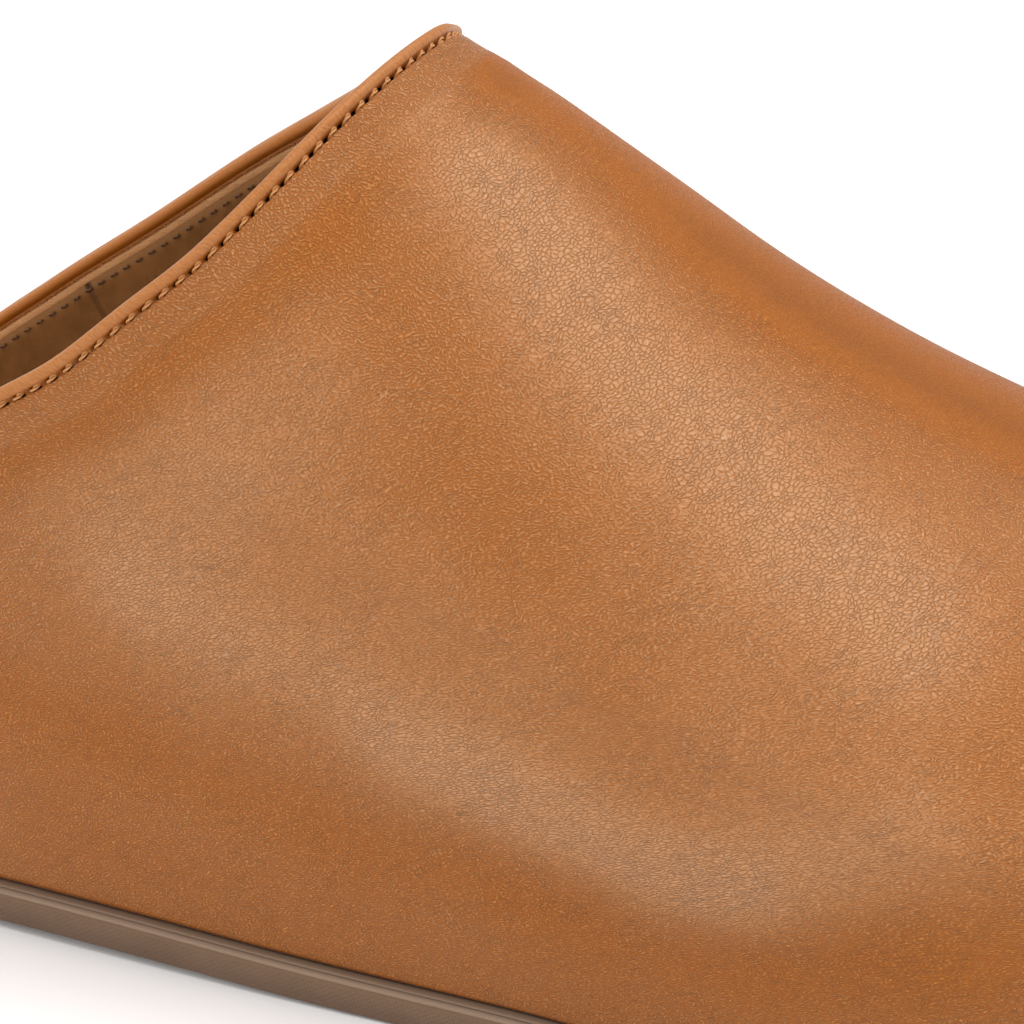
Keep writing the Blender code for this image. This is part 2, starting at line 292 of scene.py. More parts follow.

# Soft folds of the upper, each with painted light and shade: the side (0 for both), half width,
# height of form and how much painted light the fold lays on the leather (paler for a painted
# highlight, darker for painted shade), then the fold's course as x and distance down from the
# ridge. Entries with no height of form are painted light and shade alone.
FOLDS_AND_PAINTED_LIGHT = {
    "shoulder": (-1, 9.5, 0.0, 0.85, ((-13, 9), (3, 13), (16, 20), (38, 27), (54, 33))),
    "over_ridge": (0, 7.0, 0.0, -0.75, ((-4, 0), (40, 0), (104, 0))),
    "front_ridge": (0, 8.0, 0.0, -0.5, ((20, 0), (50, 0), (74, 0))),
    "far_side": (1, 11.0, 0.0, -0.6, ((-2, 17), (40, 17), (72, 17))),
    "far_slope": (1, 11.0, 0.0, -0.6, ((-2, 17), (40, 17), (90, 17))),
    "middle": (-1, 13.0, 0.0, 0.22, ((-14, 66), (18, 57), (38, 50))),
    "front_hollow": (-1, 9.0, -0.3, -0.2, ((-8, 30), (5, 43), (16, 50), (26, 53))),
    "side_rise": (-1, 8.0, 0.3, 0.3, ((-32, 78), (-20, 59), (-11, 42))),
    "puff": (0, 7.0, 0.55, 0.48, ((-28, 79), (-13, 76), (22, 75), (40, 74), (50, 66), (62, 54))),
    "low_crest": (-1, 6.0, 0.25, 0.5, ((4, 78), (18, 77), (32, 77), (44, 72))),
    "tuck": (0, 6.0, -0.35, -0.4, ((-48, 104), (-20, 97), (6, 93), (36, 87), (58, 74), (76, 62))),
    "foot": (0, 10.0, 0.0, -0.3, ((-40, 116), (-3, 108), (34, 98), (54, 86), (76, 72))),
}

# The distance from the seam over which folds set in, and the painted shade on the leather's last
# edge, where it meets the outsole.
FOLD_START = 6.0
FOOT_SHADE = -2.1

# The shallow trough that follows the topline, and the painted shade laid in it.
TROUGH_AWAY = 9.0
TROUGH_WIDE = 4.0
TROUGH_DEEP = 0.3
TROUGH_SHADE = 0.5

# Leathers, each from deep to pale with its facing: on the upper, the painted light and shade in
# the shade attribute blends deep toward pale, with random tone from a cloud, and the facing is its
# own tan with painted light. Then what grain does to their colour from its grooves to its tops:
# painted shade in the grooves and painted glints on the tops, over the grain's own tone.
LEATHERS = {
    "tan_leather": ((0.462, 0.134, 0.003), (0.545, 0.252, 0.102), (0.74, 0.37, 0.15)),
    "sock_leather": ((0.34, 0.15, 0.06), (0.42, 0.19, 0.085), (0.42, 0.19, 0.085)),
}
GRAIN_TINTS_AND_GLINTS = ((0.815, 0.665, 0.39), (1.235, 1.44, 1.95))
GRAIN_ROUGH = (0.54, 0.40)
HOLE_AND_FOOT_PAINTED_SHADE = (0.006, 0.002, 0.001)

# The leather's grain in millimetres: the sizes of its patterns, how far they wander, and depths.
WANDER_SIZE = 2.2
WANDER = 1.3
PATCH_SIZE = 6.0
WAVE_PATCH = 0.9
WORM_SIZE = 0.42
CELL_SIZE = 0.46
CELL_LONG = (0.68, 1.0, 1.0)
LINE_SIZE = 0.9
LINE_LONG = (0.2, 1.0, 1.0)
ROLL_LINE_SIZE = 0.5
ROLL_LINE_LONG = (0.12, 3.2, 1.0)
ROLL_RIB_SIZE = 0.3
ROLL_RIB_LONG = (1.0, 0.35, 1.0)
SWELL_SIZE = 2.6
SWELL_LONG = (0.5, 1.0, 1.0)
SWELL_DEEP = 0.2
CLOUD_SIZE = 16.0
GRAIN_DEEP = 0.21
FACING_GRAIN_DEEP = 0.03

# Where the grain changes: by the seam, and where the rows of grain turn as they go down the side.
BY_SEAM = (3.5, 8.0)
TURNS_DOWN = (30.0, 46.0)
ROLL_EDGE = (1.5, 1.9)
ROLL_TIP = (0.1, 0.7)

# The same by shade, from dark to pale: holes (painted near-black shade), leather darkened further
# by painted shade, smoother leather, the blend from painted shade to painted light, cells and the
# facing's pale band (its own tan with painted light).
SHADE_HOLE = (-2.5, -1.7)
SHADE_DARK = (-1.8, -0.6)
SHADE_SMOOTH = (-1.2, -0.4)
SHADE_TONE = (-1.2, 1.2)
SHADE_CELLS = (-0.3, 0.8)
SHADE_FACING = (1.6, 2.8)

# The lining's browns, the painted light along its edge by the opening and its back seam.
LINING_BROWNS = ((0.18, 0.068, 0.014), (0.25, 0.100, 0.024))
PAINTED_LINING_EDGE_LIGHT = (0.34, 0.155, 0.055)
LINING_EDGE_WIDE = 2.5
LINING_SEAM_COLOUR = (0.03, 0.01, 0.003)
LINING_SEAM_HALF = (0.1, 0.8)
LINING_SEAM_FADES = (3.4, 4.6)
LINING_SEAM_SIDE = (0.0, 9.0)
LINING_SEAM_DEEP = 0.5
NAP_SIZE = 0.28
NAP_DEEP = 0.05
MOTTLE_SIZE = 6.0
MOTTLE_DEEP = 0.12

THREADS = {
    "tan_thread": ((0.50, 0.19, 0.045), (0.74, 0.35, 0.11)),
    "brown_thread": ((0.14, 0.062, 0.022), (0.20, 0.09, 0.032)),
}
FIBRE_SIZE = 0.12
FIBRE_DEEP = 0.02

# The outsole's rubber, with the twill on its band and the tones of its step, bead and lip by
# the heights between which each sets in.
RUBBER = ((0.195, 0.116, 0.069), (0.225, 0.135, 0.084))
RUBBER_BY_HEIGHT = ((0.80, 0.80, 0.82), (1.10, 1.10, 1.08))
RUBBER_FADES = (0.2, 3.0)
RUBBER_CLOUD_SIZE = 9.0
SPECK_SIZE = 0.35
SPECK_DEEP = 0.015
TWILL_BAND = ((0.5, 1.1), (3.06, 2.9))
TWILL_PITCH = 0.42
TWILL_LEAN = 0.35
TWILL_DOT_PITCH = 0.38
TWILL_DOT_LEAN = 0.5
TWILL_DOT_SHARE = 0.6
TWILL_DEEP = 0.04
TWILL_TINT = (0.70, 0.68, 0.64)
RUBBER_STEPS = (
    (3.02, 3.10, (0.255, 0.155, 0.088)),
    (3.50, 3.62, (0.315, 0.212, 0.146)),
    (4.18, 4.26, (0.25, 0.165, 0.11)),
)


def along(rows, name, x, at="x"):
    """Reads a column between its rows, as a smooth curve through them."""
    knots = rows[at]
    values = rows[name]
    slopes = np.gradient(values, knots)
    x = np.clip(x, knots[0], knots[-1])
    i = np.clip(np.searchsorted(knots, x, side="right") - 1, 0, len(knots) - 2)
    span = knots[i + 1] - knots[i]
    t = (x - knots[i]) / span
    start = (2 * t**3 - 3 * t**2 + 1) * values[i] + (t**3 - 2 * t**2 + t) * span * slopes[i]
    end = (3 * t**2 - 2 * t**3) * values[i + 1] + (t**3 - t**2) * span * slopes[i + 1]
    return start + end


def ease(x, low, high):
    """Goes softly from 0 at low to 1 at high."""
    t = np.clip((x - low) / (high - low), 0, 1)
    return t * t * (3 - 2 * t)


def unit(v):
    return v / np.linalg.norm(v, axis=-1, keepdims=True)


def waist(x):
    """Goes from 0 at the heel and the ball to 1 at the middle of the arch."""
    return np.cos(np.clip((x - ARCH_X) / ARCH_REACH, -1, 1) * math.pi / 2) ** 2


def lift(x):
    """How far the whole sole stands off the floor: at the arch, and at the toe's spring."""
    t = np.clip((x - SPRING_FROM) / (HALF - SPRING_FROM), 0, 1)
    return ARCH_LIFT * waist(x) + SPRING_RISE * t**2


def plan_value(name, x, side):
    """A value of the plan on the lateral side or on the medial one."""
    lateral, medial = (along(PLAN, which + name, x + HALF, at="along") for which in PLAN_SIDES)
    return np.where(side < 0, lateral, medial)


def edge(u, side):
    """The outsole's outline on one side, from the heel at u = 0 to the toe at u = pi."""
    x = -HALF * np.cos(u)
    heel = np.clip((HEEL_ROUND - HALF - x) / HEEL_ROUND, 0, 1)
    toe = np.clip((TOE_ROUND - HALF + x) / TOE_ROUND, 0, 1)
    closing = np.sqrt(np.maximum(0, 1 - heel**2) * np.maximum(0, 1 - toe**TOE_BLUNT))
    reach = side * plan_value("", x, side)
    shift = TOE_SHIFT * np.clip((x - TOE_SHIFT_FROM) / (HALF - TOE_SHIFT_FROM), 0, 1) ** 2
    return x, shift + (reach - shift) * closing


def inside_edge(u, side, inset):
    """A point in plan at a distance inwards from the outline."""
    x, y = edge(u, side)
    ahead = edge(np.minimum(u + SMALL, math.pi), side)
    behind = edge(np.maximum(u - SMALL, 0), side)
    run = np.stack([ahead[0] - behind[0], ahead[1] - behind[1]], -1)
    at_end = (u < SMALL) | (u > math.pi - SMALL)
    end_run = np.stack([np.zeros_like(x), -side * np.cos(u)], -1)
    run = unit(np.where(at_end[..., None], -end_run, run))
    return x + run[..., 1] * side * inset, y - run[..., 0] * side * inset


def last(u, girth, side):
    """The outside of the upper: girth goes from 0 at the feather line to 1 on the ridge."""
    u, girth, side = np.broadcast_arrays(u, girth, np.asarray(side, float))
    x = -HALF * np.cos(u)
    front = HALF - x
    fan_x = HALF - np.where(front < 2 * FAN, FAN + front**2 / (4 * FAN), front)
    ridge_y = along(RIDGE, "y", fan_x)
    meet = ease(x, *FULLNESS_BLEND)
    powers = []
    for lateral, medial, front_power in zip(FULLNESS[-1], FULLNESS[1], FULLNESS[0]):
        back = np.where(side < 0, lateral, medial)
        powers.append(back + (front_power - back) * meet)
    across, upward = powers
    angle = girth * math.pi / 2
    reach = np.maximum(np.cos(angle), 0) ** (2 / across)
    rise = np.sin(angle) ** (2 / upward)
    swell = plan_value("_swell", x, side)
    wide_x, _ = inside_edge(u, side, LEDGE - swell)
    high = along(RIDGE, "height", fan_x + (wide_x - fan_x) * reach) * rise
    tuck = np.clip(1 - high / SWELL_HEIGHT, 0, 1) ** 2
    foot_x, foot_y = inside_edge(u, side, LEDGE - swell * (1 - tuck))
    px = fan_x + (foot_x - fan_x) * reach
    py = ridge_y + (foot_y - ridge_y) * reach
    off_tip = ((px - TIP_X) / TIP_REACH[0]) ** 2 + ((py - TIP_Y) / TIP_REACH[1]) ** 2
    high = high - TIP_DIP * np.exp(-off_tip) * ease(py - ridge_y, 0.0, TIP_FROM_RIDGE)
    return np.stack([px, py, high + SOLE_EDGE + GAP + lift(px)], -1)


def outward(u, girth, side):
    """The upper's outward normal: level along the feather line, upright across ridge and toe."""
    u, girth = np.broadcast_arrays(u, girth)
    on_ridge = (girth >= 1)[..., None]
    at_toe = (u >= math.pi)[..., None]
    over = (0, -side, 0)
    low = np.clip(girth, 2 * SMALL, 1 - 2 * SMALL)
    held = np.where(girth >= 1, 1.0, low)
    near = np.minimum(u, math.pi - np.where(girth >= 1, FAN_END, SMALL))
    run = last(near + SMALL, held, side) - last(near - SMALL, held, side)
    climb = last(u, low + SMALL, side) - last(u, low - SMALL, side)
    run = np.where(at_toe & ~on_ridge, over, run)
    climb = np.where(on_ridge, over, climb)
    normal = -side * np.cross(run, climb)
    on_feather = (girth <= 0)[..., None]
    return unit(np.where(on_feather, normal * (1, 1, 0), normal))


def topline(girth, side):
    """Where along u the topline crosses each girth."""
    drop = "lateral" if side < 0 else "medial"
    peak = along(RIDGE, "height", PEAK_X)
    low = np.full_like(girth, TOPLINE_SPAN[0])
    high = np.full_like(girth, TOPLINE_SPAN[1])
    for _ in range(TOPLINE_HALVINGS):
        middle = (low + high) / 2
        point = last(middle, girth, side)
        behind = PEAK_X - point[:, 0]
        fallen = np.where(behind > 0, along(TOPLINE, drop, behind, at="behind"), behind)
        above = point[:, 2] - SOLE_EDGE - GAP - lift(point[:, 0]) > peak - fallen
        low = np.where(above, middle, low)
        high = np.where(above, high, middle)
    return (low + high) / 2


def from_topline(start, girth, side, distance):
    """Moves on from the topline along each girth until it is a distance away from it."""
    here = last(start, girth, side)
    line = unit(np.gradient(here, axis=0))
    line[-1] = (0, 1, 0)
    run = (last(start + SMALL, girth, side) - here) / SMALL
    return start + distance / np.linalg.norm(np.cross(run, line), axis=-1)


def running_length(points, axis=0):
    """The length of each line of points up to each of its points."""
    steps = np.diff(points, axis=axis, prepend=points.take([0], axis))
    return np.cumsum(np.linalg.norm(steps, axis=-1), axis=axis)


def stitch_count(length):
    return round(length / STITCH_PITCH)


def even_girths():
    """Girths at even steps along the lateral topline, several to each stitch."""
    dense = np.linspace(0, 1, DENSE)
    length = running_length(last(topline(dense, -1), dense, -1))
    steps = stitch_count(length[-1]) * STITCH_STEPS
    return np.interp(np.linspace(0, length[-1], steps + 1), length, dense)


GIRTHS = even_girths()
COARSE = GIRTHS[::GIRTH_FINE]
PLAN_U = np.linspace(0, math.pi, OUTLINE_POINTS)
SOLE_U = np.linspace(0, math.pi, SOLE_STATIONS + 1)
CENTRE = (edge(PLAN_U, -1)[1].min() + edge(PLAN_U, 1)[1].max()) / 2


def put(name, data):
    """A new object in the scene, at the origin."""
    obj = bpy.data.objects.new(name, data)
    bpy.context.scene.collection.objects.link(obj)
    return obj


def real_mesh(obj):
    """A plain mesh of an object as its modifiers leave it."""
    seen = obj.evaluated_get(bpy.context.evaluated_depsgraph_get())
    return bpy.data.meshes.new_from_object(seen)


class Shell:
    """Collects points and faces, and joins points that lie in one place.

    Each point also has a place on its surface: two distances that its finish can follow, and a
    shade that paints light and shade into the leather's colour.
    """

    def __init__(self):
        self.mesh = bmesh.new()
        self.place = self.mesh.verts.layers.float_vector.new("place")

    def point(self, where, place):
        """Adds one point."""
        made = self.mesh.verts.new(where)
        made[self.place] = Vector(place)
        return made

    def grid(self, points, places):
        """Adds a sheet of quads over a grid of points, and returns its points in rows."""
        rows = [[self.point(*pair) for pair in zip(*row)] for row in zip(points * MM, places)]
        for lower, upper in zip(rows, rows[1:]):
            for corners in zip(lower, lower[1:], upper[1:], upper):
                self.mesh.faces.new(corners)
        return rows

    def lace(self, near, far):
        """Joins two lines of points that differ in number with triangles."""
        shares = []
        for line in (near, far):
            length = running_length(np.array([vert.co for vert in line]))
            shares.append(length / length[-1])
        i = 0
        j = 0
        while i < len(near) - 1 or j < len(far) - 1:
            ahead = i < len(near) - 1 and (
                j == len(far) - 1 or shares[0][i + 1] <= shares[1][j + 1]
            )
            if ahead:
                self.mesh.faces.new((near[i], near[i + 1], far[j]))
                i += 1
            else:
                self.mesh.faces.new((near[i], far[j + 1], far[j]))
                j += 1

    def finish(self, name, material):
        """Closes the solid, turns its faces outwards and makes the object."""
        bmesh.ops.remove_doubles(self.mesh, verts=self.mesh.verts, dist=JOIN * MM)
        bmesh.ops.recalc_face_normals(self.mesh, faces=self.mesh.faces)
        bmesh.ops.translate(self.mesh, verts=self.mesh.verts, vec=(0, -CENTRE * MM, 0))
        data = bpy.data.meshes.new(name)
        self.mesh.to_mesh(data)
        self.mesh.free()
        data.shade_smooth()
        data.materials.append(material)
        return put(name, data)


class Graph:
    """Adds nodes to a tree and wires them up."""

    def __init__(self, tree):
        self.tree = tree

    def feed(self, node, wires):
        """Links or sets what goes into a node's inputs."""
        for key, value in wires.items():
            if isinstance(value, bpy.types.NodeSocket):
                self.tree.links.new(value, node.inputs[key])
            else:
                node.inputs[key].default_value = value
        return node

    def add(self, kind, wires=None, **settings):
        """A new node, with its settings and with what goes into it."""
        node = self.tree.nodes.new(kind)
        for key, value in settings.items():
            setattr(node, key, value)
        return self.feed(node, wires or {})

    def out(self, kind, wires=None, **settings):
        """The first output of a new node."""
        return self.add(kind, wires, **settings).outputs[0]

    def maths(self, operation, *values):
        return self.out("ShaderNodeMath", dict(enumerate(values)), operation=operation)

    def times(self, a, b):
        return self.maths("MULTIPLY", a, b)

    def times_plus(self, a, b, c):
        return self.maths("MULTIPLY_ADD", a, b, c)

    def off_middle(self, value):
        """A noise's value less its middle."""
        return self.maths("SUBTRACT", value, 0.5)

    def opposite(self, share):
        return self.maths("SUBTRACT", 1.0, share)

    def wave(self, value, pitch):
        """A sine that repeats at a pitch."""
        return self.maths("SINE", self.times(value, 2 * math.pi / pitch))

    def vector(self, operation, *values):
        return self.out("ShaderNodeVectorMath", dict(enumerate(values)), operation=operation)

    def scaled(self, vector, factor):
        wires = {0: vector, "Scale": factor}
        return self.out("ShaderNodeVectorMath", wires, operation="SCALE")

    def joined(self, x, y, z=0.0):
        return self.out("ShaderNodeCombineXYZ", {0: x, 1: y, 2: z})

    def parts(self, vector):
        return self.add("ShaderNodeSeparateXYZ", {0: vector}).outputs

    def spread(self, value, low, high, to_low=0.0, to_high=1.0):
        """Stretches a range of values to another, softly and with ends held."""
        wires = {0: value, 1: low, 2: high, 3: to_low, 4: to_high}
        return self.out("ShaderNodeMapRange", wires, interpolation_type="SMOOTHSTEP")

    def blend(self, share, low, high, kind="MIX"):
        """A mix of two colours, given as values or as sockets."""
        wires = {0: share}
        for key, colour in ((6, low), (7, high)):
            is_socket = isinstance(colour, bpy.types.NodeSocket)
            wires[key] = colour if is_socket else (*colour, 1.0)
        return self.add("ShaderNodeMix", wires, data_type="RGBA", blend_type=kind).outputs[2]

    def tinted(self, colour, tint):
        return self.blend(1.0, colour, tint, "MULTIPLY")

    def mixed(self, share, low, high):
        return self.out("ShaderNodeMix", {0: share, 2: low, 3: high})

    def noise(self, place, size, detail=2.0, rough=0.5, output=0, flat=False):
        wires = {"Vector": place, "Scale": 1 / size, "Detail": detail, "Roughness": rough}
        kind = "2D" if flat else "3D"
        return self.add("ShaderNodeTexNoise", wires, noise_dimensions=kind).outputs[output]

    def streaks(self, place, long, size):
        """Flat noise drawn out along the surface."""
        return self.noise(self.vector("MULTIPLY", place, long), size, 1.0, flat=True)

    def cracks(self, place, size):
        """The distance from the edges of flat cells."""
        wires = {"Vector": place, "Scale": 1 / size}
        feature = "DISTANCE_TO_EDGE"
        node = self.add("ShaderNodeTexVoronoi", wires, feature=feature, voronoi_dimensions="2D")
        return node.outputs["Distance"]

    def waves(self, place, length, order, turn):
        """Short parallel waves in patches: their length, how orderly they lie and their turn."""
        wires = {
            "Vector": place,
            "Scale": 1 / WAVE_PATCH,
            "Frequency": WAVE_PATCH / length,
            "Anisotropy": order,
            "Orientation": turn,
        }
        return self.add("ShaderNodeTexGabor", wires, gabor_type="2D").outputs["Value"]

    def bump(self, height, depth, below=None):
        """Relief of a depth in millimetres, over the relief that is below it."""
        wires = {"Height": height, "Distance": depth * MM, "Strength": 1.0}
        if below is not None:
            wires["Normal"] = below
        return self.out("ShaderNodeBump", wires)


class Look(Graph):
    """A material built of nodes around one shader."""

    def __init__(self, name):
        self.material = bpy.data.materials.new(name)
        self.material.use_nodes = True
        super().__init__(self.material.node_tree)
        self.shader = self.tree.nodes["Principled BSDF"]

    def place(self):
        """The place in space, in millimetres."""
        return self.scaled(self.add("ShaderNodeTexCoord").outputs["Object"], 1 / MM)

    def surface_place(self):
        """The two distances along the surface in millimetres, and the shade that paints light and
        shade.
        """
        node = self.add("ShaderNodeAttribute", attribute_name="place")
        return self.parts(node.outputs["Vector"])

    def wire(self, **inputs):
        """Feeds the shader and returns the material."""
        self.feed(self.shader, {key.replace("_", " "): value for key, value in inputs.items()})
        return self.material


def wrinkles(look, flat, warped, turn):
    """Worm-like wrinkles that lie in rows at a turn."""
    worms = look.waves(warped, WORM_SIZE, 0.3, turn)
    fine = look.noise(flat, WORM_SIZE, 2.0, 0.6, flat=True)
    return look.spread(look.times_plus(look.off_middle(fine), 0.9, worms), 0.33, 0.78)


def cracked_cells(look, warped):
    """Flat-topped cells with soft cracks between them."""
    edges = look.cracks(look.vector("MULTIPLY", warped, CELL_LONG), CELL_SIZE)
    return look.spread(edges, 0.0, 0.22, 0.27, 0.95)


def long_lines(look, warped):
    """Thin raised lines that run far along the leather."""
    lines = look.off_middle(look.streaks(warped, LINE_LONG, LINE_SIZE))
    return look.spread(look.maths("ABSOLUTE", lines), 0.0, 0.02, 0.5, 0.0)


def roll_lines(look, flat, warped, away):
    """The rolled edge's faint ribs, which run along it at its tip."""
    on_tip = look.spread(away, *ROLL_TIP, 1.0, 0.0)
    lines = look.streaks(flat, ROLL_LINE_LONG, ROLL_LINE_SIZE)
    ribs = look.streaks(warped, ROLL_RIB_LONG, ROLL_RIB_SIZE)
    return look.spread(look.mixed(on_tip, ribs, lines), 0.2, 0.8, 0.42, 0.68)


def leather(name, deep, pale, facing):
    """Fine-grained leather: worm-like wrinkles and cracked cells, with pale tops that carry
    painted glints, under painted light and shade.

    The wrinkles stand square to the seam beside it and lie along it further off.
    """
    look = Look(name)
    place = look.place()
    down, away, shade = look.surface_place()
    flat = look.joined(down, away)
    wander = look.noise(place, WANDER_SIZE, 1.0, output=1)
    wander = look.scaled(look.vector("SUBTRACT", wander, (0.5, 0.5, 0.5)), WANDER)
    warped = look.vector("ADD", flat, wander)

    off_seam = look.opposite(look.spread(away, *BY_SEAM, 1.0, 0.0))
    patch = look.noise(place, PATCH_SIZE, 1.0)
    turn = look.spread(patch, 0.3, 0.7, -0.5, 0.5)
    turn = look.maths("ADD", turn, look.spread(down, *TURNS_DOWN, 0.0, math.pi / 2))
    worms = wrinkles(look, flat, warped, look.times(turn, off_seam))
    cracked = look.times(look.spread(shade, *SHADE_CELLS, 0.12, 0.66), off_seam)
    grain = look.mixed(cracked, worms, cracked_cells(look, warped))
    lines = look.times(long_lines(look, warped), look.spread(patch, 0.45, 0.6))
    grain = look.maths("ADD", grain, lines)
    on_roll = look.spread(away, *ROLL_EDGE, 1.0, 0.0)
    grain = look.mixed(on_roll, grain, roll_lines(look, flat, warped, away))
    grain = look.mixed(look.spread(shade, *SHADE_SMOOTH, 0.4, 1.0), 0.5, grain)

    on_facing = look.spread(shade, *SHADE_FACING)
    swell = look.vector("MULTIPLY", warped, SWELL_LONG)
    swell = look.noise(swell, SWELL_SIZE, 2.0, 0.6, flat=True)
    height = look.times(grain, look.mixed(on_facing, GRAIN_DEEP, FACING_GRAIN_DEEP))
    height = look.times_plus(swell, SWELL_DEEP, height)

    # Painted light and shade: the shade lays paler colour where highlights are painted and darker
    # where shade is painted; the cloud adds random tone.
    cloud = look.off_middle(look.noise(place, CLOUD_SIZE, 2.0, 0.6))
    tone = look.times_plus(cloud, 0.6, shade)
    colour = look.blend(look.spread(tone, *SHADE_TONE), deep, pale)
    # Grain tints: painted shade in the grooves and painted glints on the tops, over the grain's
    # own tone.
    colour = look.tinted(colour, look.blend(look.spread(grain, 0.0, 1.3), *GRAIN_TINTS_AND_GLINTS))
    # Deeper painted shade darkens the leather further, down to near-black painted shade in the
    # needle holes and along the foot row.
    colour = look.scaled(colour, look.spread(shade, *SHADE_DARK, 0.66, 1.0))
    colour = look.blend(look.spread(shade, *SHADE_HOLE, 0.98, 0.0), colour, HOLE_AND_FOOT_PAINTED_SHADE)
    # On the facing, a pale band of its own tan with painted light.
    return look.wire(
        Base_Color=look.blend(on_facing, colour, facing),
        Roughness=look.spread(grain, 0.0, 1.0, *GRAIN_ROUGH),
        Normal=look.bump(height, 1.0),
        Specular_IOR_Level=0.27,
        Sheen_Weight=0.09,
        Sheen_Roughness=0.35,
    )


def suede_lining(name):
    """Brown lining leather with a soft, finely mottled flesh side, painted light along its edge by
    the opening, and a seam in its back.
    """
    look = Look(name)
    place = look.place()
    x, y, z = look.parts(place)
    away = look.surface_place()[1]
    mottle = look.spread(look.noise(place, MOTTLE_SIZE, 4.0, 0.6), 0.3, 0.7)
    nap = look.noise(place, NAP_SIZE, 3.0, 0.6)
    colour = look.blend(mottle, *LINING_BROWNS)
    # Painted light along the lining's edge by the opening, fading deeper in.
    edge_light = look.spread(away, LINING_FROM, LINING_FROM + LINING_EDGE_WIDE, 0.6, 0.0)
    colour = look.blend(edge_light, colour, PAINTED_LINING_EDGE_LIGHT)
    off = look.maths("SUBTRACT", look.times_plus(z, LINING_SEAM_LEAN, x), LINING_SEAM_AT)
    seam = look.spread(look.maths("ABSOLUTE", off), *LINING_SEAM_HALF, 1.0, 0.0)
    seam = look.times(seam, look.spread(y, *LINING_SEAM_SIDE))
    seam = look.times(seam, look.spread(away, *LINING_SEAM_FADES, 0.9, 0.35))
    colour = look.blend(seam, colour, LINING_SEAM_COLOUR)
    height = look.times_plus(mottle, MOTTLE_DEEP, look.times(nap, NAP_DEEP))
    height = look.times_plus(seam, -LINING_SEAM_DEEP, height)
    return look.wire(
        Base_Color=colour,
        Roughness=0.8,
        Normal=look.bump(height, 1.0),
        Specular_IOR_Level=0.15,
        Sheen_Weight=0.05,
    )


def thread(name, deep, pale):
    """Waxed twisted thread."""
    look = Look(name)
    fibre = look.noise(look.place(), FIBRE_SIZE, 2.0, 0.6)
    return look.wire(
        Base_Color=look.blend(fibre, deep, pale),
        Roughness=0.5,
        Normal=look.bump(fibre, FIBRE_DEEP),
        Sheen_Weight=0.1,
    )


def twill(look, run, height):
    """The dotted slanting rows moulded into the outsole's band."""
    rows = look.wave(look.times_plus(height, TWILL_LEAN, run), TWILL_PITCH)
    dots = look.wave(look.times_plus(run, TWILL_DOT_LEAN, height), TWILL_DOT_PITCH)
    rows = look.times(look.times_plus(dots, TWILL_DOT_SHARE, 1 - TWILL_DOT_SHARE), rows)
    on_band = look.times(*(look.spread(height, *ends) for ends in TWILL_BAND))
    return look.times(rows, on_band)


def rubber(name):
    """Taupe rubber with a fine slanted twill moulded into its side."""
    look = Look(name)
    place = look.place()
    run, height, _ = look.surface_place()
    rows = twill(look, run, height)
    speck = look.noise(place, SPECK_SIZE, 3.0, 0.6)
    cloud = look.spread(look.noise(place, RUBBER_CLOUD_SIZE, 3.0), 0.3, 0.7)
    colour = look.blend(cloud, *RUBBER)
    fade = look.blend(look.spread(height, *RUBBER_FADES), *RUBBER_BY_HEIGHT)
    colour = look.tinted(colour, fade)
    colour = look.blend(look.spread(rows, -1.0, 0.4), look.tinted(colour, TWILL_TINT), colour)
    for low, high, tone in RUBBER_STEPS:
        colour = look.blend(look.spread(height, low, high), colour, tone)
    relief = look.bump(rows, TWILL_DEEP, look.bump(speck, SPECK_DEEP))
    return look.wire(Base_Color=colour, Roughness=0.6, Normal=relief, Specular_IOR_Level=0.35)


def floor_paint(name):
    """Plain pale studio floor."""
    look = Look(name)
    return look.wire(
        Base_Color=(0.95, 0.95, 0.95, 1.0),
        Roughness=0.9,
        Specular_IOR_Level=0.1,
        Emission_Color=(1.0, 1.0, 1.0, 1.0),
        Emission_Strength=0.07,
    )


def hole_shape(length, total):
    """Goes from 0 under a stitch to 1 at a needle hole, at a length along the seam."""
    pitch = total / stitch_count(total)
    off = np.abs((length / pitch + 0.5) % 1 - 0.5) * pitch
    return np.exp(-((off / HOLE_HALF) ** 2))


def course_distance(course, x, down):
    """The distance from each point to a fold's course, on the leather."""
    nearest = np.full(x.shape, np.inf)
    for start, end in zip(course, course[1:]):
        run = np.subtract(end, start)
        flat = np.stack([x - start[0], down - start[1]], -1)
        share = np.clip((flat @ run) / (run @ run), 0, 1)
        nearest = np.minimum(nearest, np.linalg.norm(flat - share[..., None] * run, axis=-1))
    return nearest


def folds(side, x, down, away):
    """How far the leather is raised by its folds, and the painted light and shade they lay on it:
    paler for a painted highlight, darker for painted shade.
    """
    trough = np.exp(-(((away - TROUGH_AWAY) / TROUGH_WIDE) ** 2))
    form = -TROUGH_DEEP * trough
    shade = -TROUGH_SHADE * trough
    for on_side, wide, high, pale, course in FOLDS_AND_PAINTED_LIGHT.values():
        if on_side in (0, side):
            near = np.exp(-((course_distance(course, x, down) / wide) ** 2))
            form += high * near
            shade += pale * near
    return form, shade


